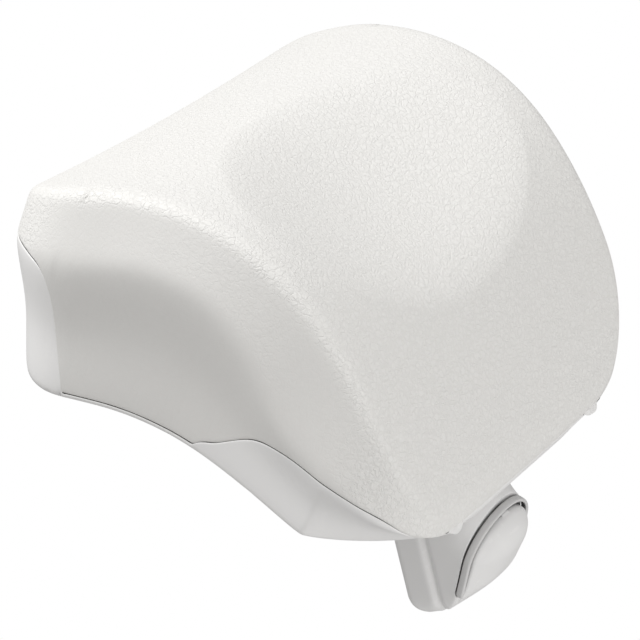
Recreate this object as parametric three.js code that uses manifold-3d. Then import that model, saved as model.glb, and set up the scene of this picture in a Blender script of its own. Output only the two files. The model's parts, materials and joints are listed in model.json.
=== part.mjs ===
// Chair headrest attachment: a moulded foam head pad on a tilting arm.
// The arm plugs onto a flat tongue of the chair and is freed by a paddle underneath.
// Millimetres. X is the width, -Y the side the head rests on, +Z up along the flat back.
// Sizes below are measured from the middle of the pad; the last lines move the origin to the middle
// of the whole object.
import * as THREE from 'three';
import { mergeVertices } from 'three/addons/utils/BufferGeometryUtils.js';
import Module from 'manifold-3d';

const wasm = await Module();
wasm.setup();

// ---- driving dimensions -------------------------------------------------
const GAP = 0.3; // clearance between neighbours
const FAR = 200; // longer than the part

const PAD = {
  topFront: 104, topBack: 75, bottom: -104,
  ridgeHalfTop: 121.5, ridgeHalfBottom: 103, waist: 1.6,
  cornerTop: 34, cornerBottom: 37,
  bevelOut: 12, bevelCorner: 8, sideTuck: 4, sidePull: 2,
  dome: 58, domePeak: 3, lean: 0.126, wing: 3.4, wingAt: 93,
  edgeTop: 9, edgeBottom: 5, ridgeRound: 7, backRound: 3,
};
// The lower corners sweep in further along the back edge than along the front ridge.
const BACK_CORNER = { wide: 76, tall: 41, power: 0.56 };
const DISH = { halfX: 94, halfZ: 57, z: 3.5, depth: 13 };
const SHELL_WALL = 3;
const CAVITY = { halfX: 78, bottom: -86, top: 78, frontBottom: 9, frontTop: -6 };
const CARRIER = { wall: 4, halfX: 76, bottom: -84, top: 72, bossR: 5.4 };

const TILT = { y: 28, z: -74, axleR: 4, barrelR: 11, barrelHalf: 22 };
const EAR = { inner: 25, wall: 4, r: 9 };
const BASE = { back: 16.4, halfX: 42, bottom: -88, top: -48 };
const OPENING = { halfX: 40, bottom: -99, top: -46, r: 8 };

// The pod lies along a sloping axis that starts at POD.y, POD.z on its upper line.
const POD = { front: 38, y: 45, z: -54, slope: 39.3, end: 67, half: 28, lowHalf: 27, ledge: 14, wall: 2.4 };
const SOCKET = { half: 16, top: 6.5, deep: 6.4, from: 20, liner: 1.2, block: 22.5 };
const BEZEL = { half: 21.3, thick: 2.7, top: 4.2, low: 16.4 };
const HOUSING_SCREW = { x: 19.3, s: 30, r: 1.5 };
const BAND = { top: -102.6, tall: 5.2, wall: 2.6, front: 39, half: 26.5, back: 77 };
const PADDLE = { front: 42.2, half: 23.2, low: -116.5, inner: -98.5, wall: 2.4 };
const PADDLE_BOSS = { inner: 16, r: 3.2 };
const PADDLE_RIB = { half: 3, front: 46.5, back: 50 };
const PADDLE_PIN = { s: 57, q: 20.8, r: 1.5 };
const LATCH_PIN = { y: 54, z: -95, r: 2 };
const LATCH_LUG = { inner: 7, outer: 11, r: 4.2, root: -80 };
const PADDLE_LUG = { inner: 10.5, outer: 13.5, r: 2.8, root: 8 };
const NECK = { top: -60.5, back: 60, backTop: -76, low: -90, draw: 2 };
const NECK_OPENING = { front: 30, back: 60, low: -93, top: -60 };
const SPRING = { radius: 3.1, turns: 2.5, from: 4.8, to: 6.5, wire: 0.3 };
const LEVER = { half: 4, hub: 4, windowFrom: 34, windowTo: 51, toe: 47.6, toeGap: 6.2 };

// ---- small helpers ------------------------------------------------------
const clamp01 = (t) => Math.min(1, Math.max(0, t));
const mix = (a, b, t) => a + (b - a) * t;

/** Height-to-depth curve through [z, y] knots, smooth between them. */
function curve(knots) {
  const line = new THREE.CatmullRomCurve3(
    knots.map(([z, y]) => new THREE.Vector3(0, y, z)), false, 'centripetal');
  const points = line.getPoints(knots.length * 8);
  return (z) => {
    const i = points.findIndex((p, k) => k > 0 && p.z <= z);
    if (i < 0) return points.at(-1).y;
    const [a, b] = [points[i - 1], points[i]];
    return mix(a.y, b.y, clamp01((z - a.z) / (b.z - a.z || 1)));
  };
}

function toSolid(geometry) {
  const bare = geometry.index ? geometry.toNonIndexed() : geometry.clone();
  for (const name of Object.keys(bare.attributes)) {
    if (name !== 'position') bare.deleteAttribute(name);
  }
  const merged = mergeVertices(bare, 1e-4);
  return new wasm.Manifold(new wasm.Mesh({
    numProp: 3,
    vertProperties: new Float32Array(merged.attributes.position.array),
    triVerts: new Uint32Array(merged.index.array),
  }));
}

function toGeometry(solid) {
  const mesh = solid.getMesh();
  const geometry = new THREE.BufferGeometry();
  geometry.setAttribute('position', new THREE.BufferAttribute(mesh.vertProperties, 3));
  geometry.setIndex(new THREE.BufferAttribute(mesh.triVerts, 1));
  geometry.computeVertexNormals();
  return geometry;
}

/** Extrudes a [y, z] outline along X between x0 and x1. */
function acrossX(outline, x0, x1, curveSegments = 8) {
  const shape = outline instanceof THREE.Shape ? outline
    : new THREE.Shape(outline.map(([y, z]) => new THREE.Vector2(y, z)));
  const options = { depth: x1 - x0, bevelEnabled: false, curveSegments };
  const geometry = new THREE.ExtrudeGeometry(shape, options);
  geometry.applyMatrix4(new THREE.Matrix4().makeBasis(
    new THREE.Vector3(0, 1, 0), new THREE.Vector3(0, 0, 1), new THREE.Vector3(1, 0, 0)));
  geometry.translate(x0, 0, 0);
  return toSolid(geometry);
}

/** Extrudes an [x, y] outline along Z between z0 and z1. */
function alongZ(shape, z0, z1, curveSegments = 10) {
  const geometry = new THREE.ExtrudeGeometry(shape,
    { depth: z1 - z0, bevelEnabled: false, curveSegments });
  geometry.translate(0, 0, z0);
  return toSolid(geometry);
}

function box(x0, x1, y0, y1, z0, z1) {
  const geometry = new THREE.BoxGeometry(x1 - x0, y1 - y0, z1 - z0);
  geometry.translate((x0 + x1) / 2, (y0 + y1) / 2, (z0 + z1) / 2);
  return toSolid(geometry);
}

/** Round bar between two points. */
function rod(from, to, radius, segments = 24) {
  const a = new THREE.Vector3(...from);
  const b = new THREE.Vector3(...to);
  const geometry = new THREE.CylinderGeometry(radius, radius, a.distanceTo(b), segments);
  const turn = new THREE.Quaternion().setFromUnitVectors(
    new THREE.Vector3(0, 1, 0), b.clone().sub(a).normalize());
  geometry.applyQuaternion(turn);
  geometry.translate(...a.add(b).multiplyScalar(0.5).toArray());
  return toSolid(geometry);
}

const rodX = (x0, x1, y, z, radius, segments) => rod([x0, y, z], [x1, y, z], radius, segments);
const ringX = (x0, x1, y, z, outer, inner, segments) =>
  rodX(x0, x1, y, z, outer, segments).subtract(rodX(x0 - 1, x1 + 1, y, z, inner, segments));

function roundedRect(x0, x1, y0, y1, r) {
  const shape = new THREE.Shape();
  shape.moveTo(x0 + r, y0);
  shape.lineTo(x1 - r, y0);
  shape.absarc(x1 - r, y0 + r, r, -Math.PI / 2, 0);
  shape.lineTo(x1, y1 - r);
  shape.absarc(x1 - r, y1 - r, r, 0, Math.PI / 2);
  shape.lineTo(x0 + r, y1);
  shape.absarc(x0 + r, y1 - r, r, Math.PI / 2, Math.PI);
  shape.lineTo(x0, y0 + r);
  shape.absarc(x0 + r, y0 + r, r, Math.PI, Math.PI * 1.5);
  return shape;
}

// ---- pad form -----------------------------------------------------------
const backDepth = curve([[90, 40], [58, 40], [46, 36], [22, 28], [-6, 24.5], [-34, 26.5],
  [-62, 31], [-110, 31]]);
const bevelDepth = curve([[104, -6], [77, -15], [32, -37], [10, -39], [-13, -30], [-38, -9],
  [-56, -2], [-80, 8], [-106, 20]]);
const seamDepth = curve([[115, -12], [73, -12], [66, -6], [56, 14], [48, 28], [42, 40], [20, 60],
  [0, 50], [-8, 24], [-18, 15], [-30, 5], [-42, 1.5], [-60, 2], [-76, 5], [-90, 10.5],
  [-102, 19], [-115, 26]]);

function dishDepth(x, z) {
  const rho2 = (x / DISH.halfX) ** 2 + ((z - DISH.z) / DISH.halfZ) ** 2;
  return rho2 >= 1 ? 0 : DISH.depth * (1 - rho2) ** 1.35;
}

function frontDepth(x, z) {
  const u = (z - PAD.domePeak) / PAD.topFront;
  const domed = PAD.dome * (1 - u * u) + PAD.lean * z + PAD.wing * (x / PAD.wingAt) ** 2;
  return dishDepth(x, z) - domed;
}

/** How far an arc of this radius has drawn in, at a distance beyond its start. */
const arcDrawIn = (radius, beyond) =>
  (beyond > 0 ? radius - Math.sqrt(Math.max(0, radius ** 2 - beyond ** 2)) : 0);

/** Half-width of the rounded trapezium outline, widened by grow and drawn in by inset. */
function halfWidth(z, grow, extraCorner, inset) {
  const t = (z - PAD.bottom) / (PAD.topFront - PAD.bottom);
  const side = mix(PAD.ridgeHalfBottom, PAD.ridgeHalfTop, t) + grow
    - PAD.waist * 4 * t * (1 - t);
  const rt = PAD.cornerTop + extraCorner;
  const rb = PAD.cornerBottom + extraCorner;
  return side - inset - arcDrawIn(rt - inset, z - (PAD.topFront - rt))
    - arcDrawIn(rb - inset, PAD.bottom + rb - z);
}

/** Half-width along the back edge. */
function backHalfWidth(z, inset) {
  const { wide, tall, power } = BACK_CORNER;
  const beyond = Math.min(1, Math.max(0, (PAD.bottom + tall - z) / tall));
  const draw = wide * (1 - Math.sqrt(1 - beyond ** 2)) ** power;
  const straight = halfWidth(Math.max(z, PAD.bottom + tall), PAD.bevelOut, PAD.bevelCorner, inset);
  return straight - PAD.sideTuck - draw;
}

/** Shrink that rounds the front and back edges off near the two ends. */
function endShrink(z, inset) {
  const reach = z > 0 ? PAD.edgeTop : PAD.edgeBottom;
  const height = z > 0 ? PAD.topFront : -PAD.bottom;
  return arcDrawIn(reach - inset, Math.abs(z) - (height - reach));
}

const FRONT_STEPS = 13;
/** One level of the pad as a closed ring of points; level runs -1 to 1. */
function padRing(level, inset) {
  const zFront = level * (level > 0 ? PAD.topFront - inset : -PAD.bottom - inset);
  const zBack = level * (level > 0 ? PAD.topBack - inset : -PAD.bottom - inset);
  const rounding = endShrink(zFront, inset);
  const shrink = rounding + inset;
  const ridge = halfWidth(zFront, 0, 0, inset) - rounding;
  const side = halfWidth(zFront, PAD.bevelOut, PAD.bevelCorner, inset) - rounding;
  const back = backHalfWidth(zFront, inset) - rounding;
  const front = (x) => frontDepth(x, zFront) + shrink;
  const yBack = backDepth(zBack) - shrink;
  const r = PAD.ridgeRound;
  const yBevel = Math.min(bevelDepth(zFront) + shrink, yBack - 3);
  const at = (x, y, t) => [x, y, mix(zFront, zBack, t)];
  const half = [];
  for (let i = 0; i <= FRONT_STEPS; i += 1) {
    const x = (ridge - r) * (i / FRONT_STEPS);
    half.push(at(x, front(x), 0));
  }
  half.push(at(ridge - r * 0.3, front(ridge) + r * 0.1, 0));
  half.push(at(ridge + 1, front(ridge) + r * 0.6, 0));
  half.push(at(side - 1.5, mix(front(ridge), yBevel, 0.86), 0.1));
  half.push(at(side, mix(yBevel, yBack, 0.08), 0.2));
  for (const t of [0.35, 0.65]) {
    half.push(at(mix(side, back, t) - PAD.sidePull, mix(yBevel, yBack, t), t));
  }
  half.push(at(back, yBack - PAD.backRound, 0.95));
  half.push(at(back - PAD.backRound * 0.3, yBack - PAD.backRound * 0.3, 1));
  for (const t of [0.96, 0.6, 0.2]) half.push(at((back - PAD.backRound) * t, yBack, 1));
  const mirrored = half.slice(1).reverse().map(([x, y, z]) => [-x, y, z]);
  return half.concat(mirrored);
}

/** Closed solid through a stack of rings with flat ends. */
function loft(rings) {
  const n = rings[0].length;
  const middle = (ring) => ring.reduce((s, p) => s.map((v, k) => v + p[k] / n), [0, 0, 0]);
  const points = rings.flat().concat([middle(rings[0]), middle(rings.at(-1))]);
  const faces = [];
  for (let r = 0; r + 1 < rings.length; r += 1) {
    for (let i = 0; i < n; i += 1) {
      const [a, b] = [r * n + i, r * n + ((i + 1) % n)];
      faces.push(a, b, b + n, a, b + n, a + n);
    }
  }
  const last = (rings.length - 1) * n;
  for (let i = 0; i < n; i += 1) {
    const j = (i + 1) % n;
    faces.push(j, i, rings.length * n, last + i, last + j, rings.length * n + 1);
  }
  const geometry = new THREE.BufferGeometry();
  geometry.setAttribute('position', new THREE.Float32BufferAttribute(points.flat(), 3));
  geometry.setIndex(faces);
  return toSolid(geometry);
}

function padBody(inset) {
  const levels = [-1, -0.99, -0.97, -0.95, -0.91, -0.86, -0.8, -0.72];
  for (let level = -0.63; level < 0.75; level += 0.09) levels.push(level);
  levels.push(0.8, 0.86, 0.91, 0.95, 0.975, 0.99, 1);
  return loft(levels.map((level) => padRing(level, inset)));
}

/** Everything in front of (side -1) or behind (side 1) the seam surface, moved by shift. */
function seamRegion(side, shift) {
  const outline = [];
  for (let z = 120; z >= -120; z -= 6) {
    outline.push([Math.min(seamDepth(z), backDepth(z) - SHELL_WALL) + shift, z]);
  }
  outline.push([side * FAR, -120], [side * FAR, 120]);
  return acrossX(side > 0 ? outline : outline.reverse(), -FAR, FAR);
}

const cavityFront = (z) => mix(CAVITY.frontBottom, CAVITY.frontTop,
  (z - CAVITY.bottom) / (CAVITY.top - CAVITY.bottom));

function cushion() {
  const hollow = acrossX([[cavityFront(CAVITY.bottom), CAVITY.bottom], [FAR, CAVITY.bottom],
    [FAR, CAVITY.top], [cavityFront(CAVITY.top), CAVITY.top]], -CAVITY.halfX, CAVITY.halfX);
  return padBody(0).intersect(seamRegion(-1, -GAP)).subtract(hollow);
}

const SHELL_SCREWS = [[60, 62], [62, -74]].flatMap(([x, z]) => [[x, z], [-x, z]]);

function backShell() {
  let shell = padBody(0).subtract(padBody(SHELL_WALL)).intersect(seamRegion(1, 0));
  const mouth = roundedRect(-OPENING.halfX, OPENING.halfX, OPENING.bottom, OPENING.top, OPENING.r);
  const cutter = new THREE.ExtrudeGeometry(mouth, { depth: 60, bevelEnabled: false });
  cutter.rotateX(Math.PI / 2);
  cutter.translate(0, 75, 0);
  shell = shell.subtract(toSolid(cutter));
  for (const [x, z] of SHELL_SCREWS) shell = shell.subtract(rod([x, 10, z], [x, 60, z], 2.1, 16));
  return shell;
}

function carrierPlate() {
  const front = (z) => cavityFront(z) + GAP;
  const outline = [[front(CARRIER.bottom), CARRIER.bottom],
    [front(CARRIER.bottom) + CARRIER.wall, CARRIER.bottom],
    [front(CARRIER.top) + CARRIER.wall, CARRIER.top], [front(CARRIER.top), CARRIER.top]];
  let plate = acrossX(outline, -CARRIER.halfX, CARRIER.halfX);
  for (const x of [-44, -15, 15, 44]) {
    const [low, high] = [-40, 60];
    const rib = [[front(low) + 2, low], [front(low) + 9, low], [front(high) + 12, high],
      [front(high) + 2, high]];
    plate = plate.add(acrossX(rib, x - 1.5, x + 1.5));
  }
  for (const [x, z] of SHELL_SCREWS) {
    const reach = backDepth(z) - SHELL_WALL - 3 * GAP;
    plate = plate.add(rod([x, front(z) + 2, z], [x, reach, z], CARRIER.bossR, 20));
    plate = plate.subtract(rod([x, reach - 12, z], [x, reach + 5, z], 2, 16));
  }
  for (const [x, z] of BRACKET_SCREWS) {
    plate = plate.subtract(rod([x, -20, z], [x, 30, z], 2.8, 16));
  }
  return plate;
}

/** Pan-head screw pointing to -Y, its head seated at depth y. */
function panScrew(x, y, z, headR, shankR, length) {
  const head = rod([x, y, z], [x, y + headR * 0.6, z], headR, 20);
  const slot = box(x - headR, x + headR, y + headR * 0.36, y + 10, z - 0.5, z + 0.5);
  return head.subtract(slot).add(rod([x, y - length, z], [x, y + 0.5, z], shankR, 16));
}

// ---- tilt hinge ---------------------------------------------------------
const BRACKET_SCREWS = [[36.5, -54], [36.5, -80]].flatMap(([x, z]) => [[x, z], [-x, z]]);

function hingeBracket() {
  const front = (z) => cavityFront(z) + CARRIER.wall + 2 * GAP;
  let bracket = acrossX([[front(BASE.bottom), BASE.bottom], [BASE.back, BASE.bottom],
    [BASE.back, BASE.top], [front(BASE.top), BASE.top]], -BASE.halfX, BASE.halfX);
  const reach = TILT.z + EAR.r;
  for (const side of [-1, 1]) {
    const [x0, x1] = side > 0 ? [EAR.inner, EAR.inner + EAR.wall] : [-EAR.inner - EAR.wall, -EAR.inner];
    const web = box(x0, x1, BASE.back - 2, TILT.y, TILT.z - EAR.r, reach);
    bracket = bracket.add(web).add(rodX(x0, x1, TILT.y, TILT.z, EAR.r, 36));
  }
  bracket = bracket.subtract(rodX(-50, 50, TILT.y, TILT.z, TILT.axleR + GAP, 24));
  for (const [x, z] of BRACKET_SCREWS) {
    bracket = bracket.subtract(rod([x, 0, z], [x, 30, z], 2.8, 16));
  }
  return bracket;
}

const hexX = (x0, x1, radius) => rodX(x0, x1, TILT.y, TILT.z, radius, 6);
const EAR_OUT = EAR.inner + EAR.wall;

function tiltAxle() {
  return rodX(-EAR_OUT - 2, 37.4, TILT.y, TILT.z, TILT.axleR)
    .add(hexX(-EAR_OUT - GAP - 4.5, -EAR_OUT - GAP, 7));
}

function axleNut() {
  const x = EAR_OUT + GAP + 2.2 + GAP;
  return hexX(x, x + 4.5, 7).subtract(rodX(x - 1, x + 6, TILT.y, TILT.z, TILT.axleR + GAP));
}

function springWasher() {
  const x = EAR_OUT + GAP;
  const profile = [[4.4, 0], [8.6, 1], [8.6, 2.1], [4.4, 1.1], [4.4, 0]];
  const cone = new THREE.LatheGeometry(profile.map(([r, y]) => new THREE.Vector2(r, y)), 32);
  cone.rotateZ(-Math.PI / 2);
  cone.translate(x, TILT.y, TILT.z);
  return toSolid(cone);
}

const frictionWasher = (side) => {
  const [x0, x1] = [TILT.barrelHalf + GAP, EAR.inner - GAP];
  return ringX(side > 0 ? x0 : -x1, side > 0 ? x1 : -x0, TILT.y, TILT.z, 10, TILT.axleR + 0.4, 32);
};

const axleBush = (side) => {
  const [x0, x1] = [2, TILT.barrelHalf - 0.5];
  return ringX(side > 0 ? x0 : -x1, side > 0 ? x1 : -x0, TILT.y, TILT.z, 5.6, TILT.axleR + GAP, 24);
};

// ---- pod ----------------------------------------------------------------
const SLOPE = THREE.MathUtils.degToRad(POD.slope);
const [CS, SN] = [Math.cos(SLOPE), Math.sin(SLOPE)];
/** Point at s along the pod's upper line and q below it, as [y, z]. */
const podPoint = (s, q) => [POD.y + s * CS - q * SN, POD.z - s * SN - q * CS];

/** Side outline of the pod above the band, drawn in by inset. */
function podOutline(inset) {
  const shape = new THREE.Shape();
  const to = (point) => shape.lineTo(...point);
  const front = POD.front + inset;
  shape.moveTo(front, BAND.top);
  to([front, -92 + inset * 0.5]);
  to([front, -56]);
  to([46, -56 - inset]);
  to(podPoint(61 - inset, 0.4 + inset));
  shape.quadraticCurveTo(...podPoint(POD.end - inset, 0.4 + inset), ...podPoint(POD.end - inset, 5 + inset));
  to(podPoint(POD.end - inset, 17));
  to([BAND.back + 2.5, BAND.top - 3]);
  to([BAND.back + 2.5, BAND.top]);
  return shape;
}

function podHousing() {
  const ledge = acrossX([podPoint(-30, -20), podPoint(90, -20), podPoint(90, POD.ledge),
    podPoint(-30, POD.ledge)], -POD.half, POD.half);
  const low = box(-POD.lowHalf, POD.lowHalf, -FAR, FAR, -FAR, FAR);
  const outer = acrossX(podOutline(0), -POD.half, POD.half).intersect(ledge.add(low));
  const inner = acrossX(podOutline(POD.wall), -POD.lowHalf + POD.wall, POD.lowHalf - POD.wall);
  const under = box(-POD.lowHalf + POD.wall, POD.lowHalf - POD.wall, POD.front + POD.wall,
    BAND.back + 1, -FAR, BAND.top + 6.6);
  const neck = box(-TILT.barrelHalf - 1, TILT.barrelHalf + 1, NECK_OPENING.front, NECK_OPENING.back,
    NECK_OPENING.low, NECK_OPENING.top);
  const mouth = acrossX([podPoint(60, BEZEL.top - GAP), podPoint(90, BEZEL.top - GAP),
    podPoint(90, BEZEL.low + GAP), podPoint(60, BEZEL.low + GAP)], -BEZEL.half - GAP, BEZEL.half + GAP);
  let housing = outer.subtract(inner).subtract(under).subtract(neck).subtract(mouth);
  for (const side of [-1, 1]) housing = housing.subtract(screwHole(side, 2));
  return housing;
}

const screwHole = (side, radius) =>
  alongNormal(side * HOUSING_SCREW.x, HOUSING_SCREW.s, -4, 12, radius);

/** Rod square to the pod's upper line at x and s, from q0 to q1. */
function alongNormal(x, s, q0, q1, radius, segments = 20) {
  return rod([x, ...podPoint(s, q0)], [x, ...podPoint(s, q1)], radius, segments);
}

/** Slanted bar of the pod: half-width in x, s0..s1 along it, q0..q1 deep. */
const podBar = (half, s0, s1, q0, q1) =>
  acrossX([podPoint(s0, q0), podPoint(s1, q0), podPoint(s1, q1), podPoint(s0, q1)], -half, half);

const PIN_AT = podPoint(PADDLE_PIN.s, PADDLE_PIN.q);

function armCore() {
  const { top, deep, half, from, block } = SOCKET;
  let core = podBar(block, 6, POD.end - 3, 3.2, top + deep + 3.2)
    .intersect(acrossX(podOutline(POD.wall + 0.4), -block, block));
  const neck = [[TILT.y, TILT.z + 8], [46, NECK.top], [NECK.back, NECK.backTop], [NECK.back, NECK.low],
    [TILT.y, TILT.z - 9]];
  core = core.add(acrossX(neck, -TILT.barrelHalf + NECK.draw, TILT.barrelHalf - NECK.draw));
  core = core.add(rodX(-TILT.barrelHalf, TILT.barrelHalf, TILT.y, TILT.z, TILT.barrelR, 36));
  for (const side of [-1, 1]) {
    const spread = ({ inner, outer }) => (side > 0 ? [inner, outer] : [-outer, -inner]);
    const latchX = spread(LATCH_LUG);
    const paddleX = spread(PADDLE_LUG);
    const [pinY, pinZ] = PIN_AT;
    core = core.add(rodX(...latchX, LATCH_PIN.y, LATCH_PIN.z, LATCH_LUG.r, 20))
      .add(box(...latchX, LATCH_PIN.y - LATCH_LUG.r, LATCH_PIN.y + LATCH_LUG.r, LATCH_PIN.z, LATCH_LUG.root))
      .add(rodX(...paddleX, pinY, pinZ, PADDLE_LUG.r, 20))
      .add(box(...paddleX, pinY - PADDLE_LUG.r, pinY + 1.2, pinZ, pinZ + PADDLE_LUG.root));
    core = core.subtract(screwHole(side, 1.8));
  }
  return core.subtract(rodX(-50, 50, TILT.y, TILT.z, 5.9, 28))
    .subtract(podBar(half, from, 80, top, top + deep))
    .subtract(podBar(LEVER.half + 1, LEVER.windowFrom, LEVER.windowTo, top + 2, 30))
    .subtract(rodX(-50, 50, LATCH_PIN.y, LATCH_PIN.z, LATCH_PIN.r + GAP, 16))
    .subtract(rodX(-50, 50, ...PIN_AT, PADDLE_PIN.r + GAP, 16));
}

function socketLiner() {
  const { top, deep, half, from, liner } = SOCKET;
  const outer = podBar(half - GAP, from + 1, POD.end - 3.4, top + GAP, top + deep - GAP);
  const inner = podBar(half - liner, from - 5, 90, top + liner, top + deep - liner);
  const window = podBar(LEVER.half + 1.4, LEVER.windowFrom - 0.5, LEVER.windowTo + 0.5, top + deep - 2, 40);
  return outer.subtract(inner).subtract(window);
}

function socketBezel() {
  const { top, deep, half } = SOCKET;
  const plate = podBar(BEZEL.half, POD.end - BEZEL.thick, POD.end, BEZEL.top, BEZEL.low);
  return plate.subtract(podBar(half - 1, 60, 90, top + 1, top + deep - 1));
}

/** Plan outline of the band or paddle: round at the front, straight legs to the back. */
function horseshoe(half, front, back) {
  const shape = new THREE.Shape();
  const shoulder = front + half * 0.78;
  shape.moveTo(half, back);
  shape.lineTo(-half, back);
  shape.lineTo(-half, shoulder + 8);
  shape.bezierCurveTo(-half, front + 6, -half * 0.62, front, 0, front);
  shape.bezierCurveTo(half * 0.62, front, half, front + 6, half, shoulder + 8);
  return shape;
}

function trimBand() {
  const { half, front, back, wall, tall } = BAND;
  const top = BAND.top - GAP;
  return alongZ(horseshoe(half, front, back), top - tall, top)
    .subtract(alongZ(horseshoe(half - wall, front + wall, back + 5), top - tall - 1, top + 1));
}

/** Side outline of the paddle, drawn in by inset. */
function paddleOutline(inset) {
  const shape = new THREE.Shape();
  const { front, low, inner } = PADDLE;
  shape.moveTo(front + inset, inner);
  shape.lineTo(front + inset, -106);
  shape.bezierCurveTo(front + inset, -113 + inset, 47, low + inset, 55, low + inset);
  shape.lineTo(80 - inset * 0.3, -110.8 + inset);
  shape.quadraticCurveTo(83 - inset, -110.2 + inset, 83.4 - inset, -108.2 + inset * 0.4);
  shape.lineTo(78.8 - inset, -105.2);
  shape.lineTo(BAND.back + 1.6 - inset, inner);
  return shape;
}

function paddleBlock(inset, top) {
  const { front, half, low, wall } = PADDLE;
  const plan = alongZ(horseshoe(half - inset, front + inset, 100), -125, top);
  const crown = new THREE.Shape();
  const w = half + 1 - inset;
  crown.moveTo(-w, top);
  crown.lineTo(-w, -107);
  crown.bezierCurveTo(-w, -113 + inset, -w * 0.6, low + inset, 0, low + inset);
  crown.bezierCurveTo(w * 0.6, low + inset, w, -113 + inset, w, -107);
  crown.lineTo(w, top);
  const across = new THREE.ExtrudeGeometry(crown, { depth: 100, bevelEnabled: false, curveSegments: 12 });
  across.rotateX(Math.PI / 2);
  across.translate(0, 120, 0);
  const side = acrossX(paddleOutline(inset), -40, 40, 12);
  return plan.intersect(toSolid(across)).intersect(side.add(
    box(-40, 40, front + wall, BAND.back - inset, PADDLE.inner - 1, top)));
}

function releasePaddle() {
  const { half, inner, wall } = PADDLE;
  let paddle = paddleBlock(0, inner).subtract(paddleBlock(wall, inner + 5));
  paddle = paddle.subtract(podBar(19.8, 50, 65.4, 10, 24));
  const [y, z] = PIN_AT;
  for (const side of [-1, 1]) {
    const [x0, x1] = side > 0 ? [PADDLE_BOSS.inner, half - 1] : [-half + 1, -PADDLE_BOSS.inner];
    paddle = paddle.add(rodX(x0, x1, y, z, PADDLE_BOSS.r, 20).intersect(paddleBlock(0.5, inner)));
  }
  const rib = box(-PADDLE_RIB.half, PADDLE_RIB.half, PADDLE_RIB.front, PADDLE_RIB.back, -115,
    LATCH_PIN.z - LEVER.toeGap);
  const under = acrossX([podPoint(80, -10), podPoint(5, -10), podPoint(5, 25), podPoint(66, 17),
    podPoint(80, 17)], -40, 40);
  paddle = paddle.add(rib.intersect(paddleBlock(1, inner))).subtract(under);
  return paddle.subtract(rodX(-21, 21, y, z, PADDLE_PIN.r + GAP, 16));
}

/** Rocker: the front toe is lifted by the paddle, the rear nose locks the tongue. */
function latchLever() {
  const { y, z, r } = LATCH_PIN;
  const [noseY, noseZ] = podPoint(40.5, SOCKET.top + 3.4);
  const toe = [[y, z + 2], [LEVER.toe, z - 2.2], [LEVER.toe, z - 5.2], [y, z - 3.2]];
  const tail = [[y, z + 3], [noseY - 4.4, noseZ - 5.8], [noseY, noseZ], [noseY + 3, noseZ - 3.2],
    [noseY + 1.5, noseZ - 8.4], [y, z - 3]];
  const lever = rodX(-LEVER.half, LEVER.half, y, z, LEVER.hub, 24)
    .add(acrossX(toe, -LEVER.half, LEVER.half)).add(acrossX(tail, -LEVER.half, LEVER.half));
  return lever.subtract(rodX(-20, 20, y, z, r + GAP, 20));
}

/** Coil of the torsion spring that holds the latch closed. */
function latchSpring() {
  const coil = new THREE.Curve();
  const { radius, turns, from, to } = SPRING;
  coil.getPoint = (t) => {
    const angle = t * turns * Math.PI * 2;
    return new THREE.Vector3(mix(from, to, t), LATCH_PIN.y + radius * Math.cos(angle),
      LATCH_PIN.z + radius * Math.sin(angle));
  };
  const wire = new THREE.Shape();
  wire.absarc(0, 0, SPRING.wire, 0, Math.PI * 2);
  return toSolid(new THREE.ExtrudeGeometry(wire,
    { steps: 60, extrudePath: coil, curveSegments: 4, bevelEnabled: false }));
}

function housingScrew(side) {
  const { s, r } = HOUSING_SCREW;
  const x = side * HOUSING_SCREW.x;
  return alongNormal(x, s, -1.7, 0.1, 3.6).add(alongNormal(x, s, -0.5, 10.5, r, 14));
}

// ---- materials and assembly ---------------------------------------------
const FINISH = {
  leather: { color: 0xe9e6e0, roughness: 0.62, metalness: 0 },
  shell: { color: 0xd2d1ce, roughness: 0.45, metalness: 0 },
  trim: { color: 0xd8d6d2, roughness: 0.4, metalness: 0 },
  inner: { color: 0x3a3b3d, roughness: 0.6, metalness: 0 },
  nylon: { color: 0xe6e4da, roughness: 0.5, metalness: 0 },
  cast: { color: 0xa9abad, roughness: 0.45, metalness: 0.9 },
  steel: { color: 0xb9bbbe, roughness: 0.3, metalness: 1 },
};

const assembly = new THREE.Group();
function part(name, finish, solid) {
  const mesh = new THREE.Mesh(toGeometry(solid), new THREE.MeshStandardMaterial(FINISH[finish]));
  mesh.name = name;
  assembly.add(mesh);
}

const SIDES = [['left', -1], ['right', 1]];
part('cushion', 'leather', cushion());
part('back_shell', 'shell', backShell());
part('carrier_plate', 'inner', carrierPlate());
part('hinge_bracket', 'cast', hingeBracket());
part('tilt_axle', 'steel', tiltAxle());
part('axle_nut', 'steel', axleNut());
part('spring_washer', 'steel', springWasher());
for (const [name, side] of SIDES) {
  part(`friction_washer_${name}`, 'nylon', frictionWasher(side));
  part(`axle_bush_${name}`, 'nylon', axleBush(side));
  part(`housing_screw_${name}`, 'steel', housingScrew(side));
}
SHELL_SCREWS.forEach(([x, z], i) => part(`shell_screw_${i + 1}`, 'steel',
  panScrew(x, backDepth(z) + GAP, z, 4, 1.6, 14)));
BRACKET_SCREWS.forEach(([x, z], i) => part(`bracket_screw_${i + 1}`, 'steel',
  panScrew(x, BASE.back + GAP, z, 4.4, 2.4, 9)));
part('arm_core', 'cast', armCore());
part('socket_liner', 'nylon', socketLiner());
part('socket_bezel', 'shell', socketBezel());
part('pod_housing', 'shell', podHousing());
part('trim_band', 'trim', trimBand());
part('release_paddle', 'shell', releasePaddle());
part('paddle_pin', 'steel', rodX(-20.5, 20.5, ...PIN_AT, PADDLE_PIN.r, 16));
part('latch_lever', 'cast', latchLever());
part('latch_pin', 'steel', rodX(-11.5, 11.5, LATCH_PIN.y, LATCH_PIN.z, LATCH_PIN.r, 16));
part('latch_spring', 'steel', latchSpring());

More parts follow.
